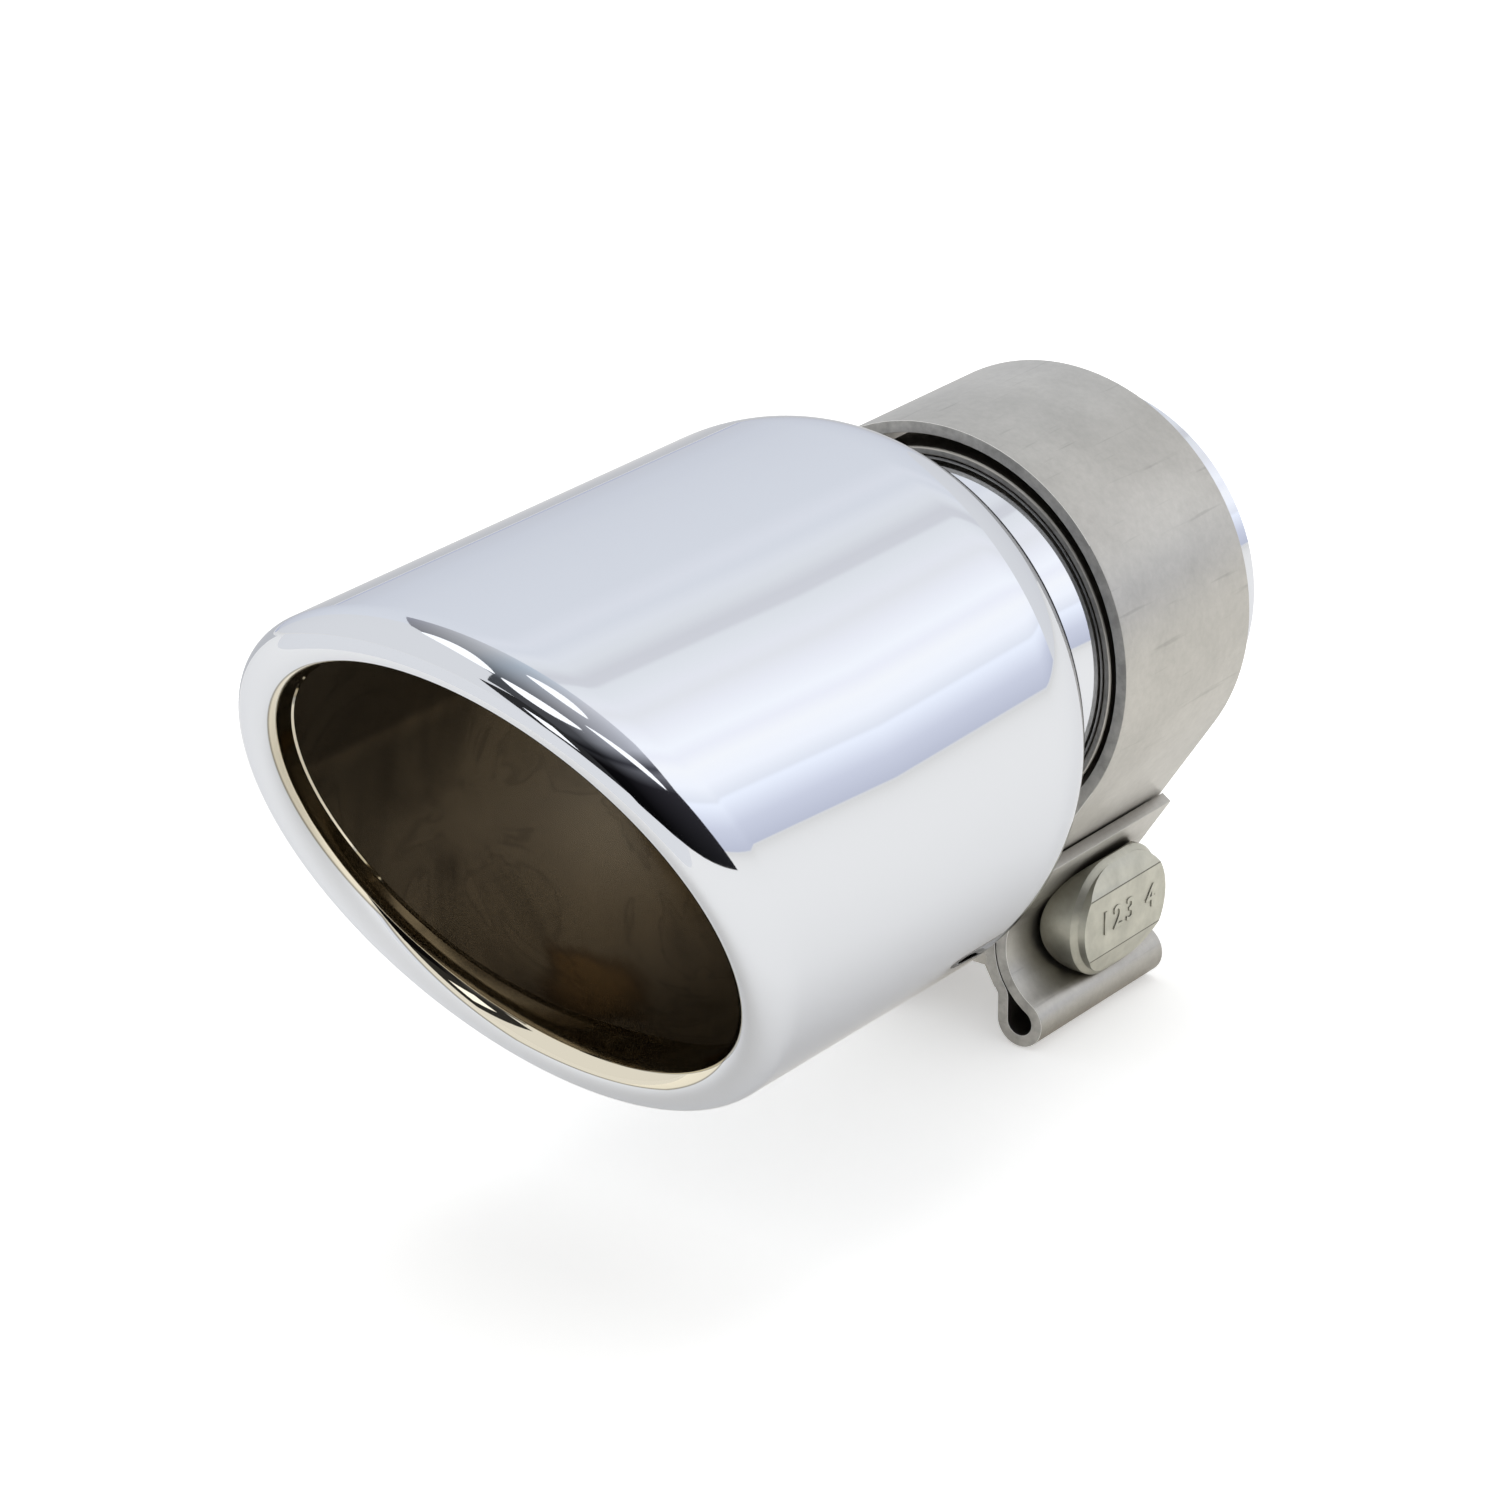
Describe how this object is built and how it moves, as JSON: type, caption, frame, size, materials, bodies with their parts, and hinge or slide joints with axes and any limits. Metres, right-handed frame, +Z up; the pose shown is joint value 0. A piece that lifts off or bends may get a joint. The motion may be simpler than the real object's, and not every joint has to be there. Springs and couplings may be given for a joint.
{
  "type": "exhaust tip",
  "caption": "Clamp-on exhaust tip: round chromed shell with a slanted rolled mouth and a drawn neck, held on the pipe by a band clamp with folded ears, a T-head bolt and a flange nut",
  "frame": {"origin": "centre of the neck's rear end, where the tail pipe enters", "axes": "+Y along the tip's axis from the mouth towards the tail pipe, +Z up with the clamp's ears below, +X to the right as seen from the mouth"},
  "size_m": [0.0804, 0.1577, 0.0985],
  "materials": {
    "chrome": "polished",
    "sleeve_steel": "dull, with sheared edges",
    "band_steel": "satin, as rolled",
    "zinc_steel": "forged, zinc passivated"
  },
  "bodies": {
    "root": {"tip_shell": "chrome", "sleeve": "sleeve_steel", "clamp_band": "band_steel", "t_bolt": "zinc_steel", "saddle": "band_steel", "flange_nut": "zinc_steel", "spacer": "sleeve_steel"}
  },
  "joints": []
}
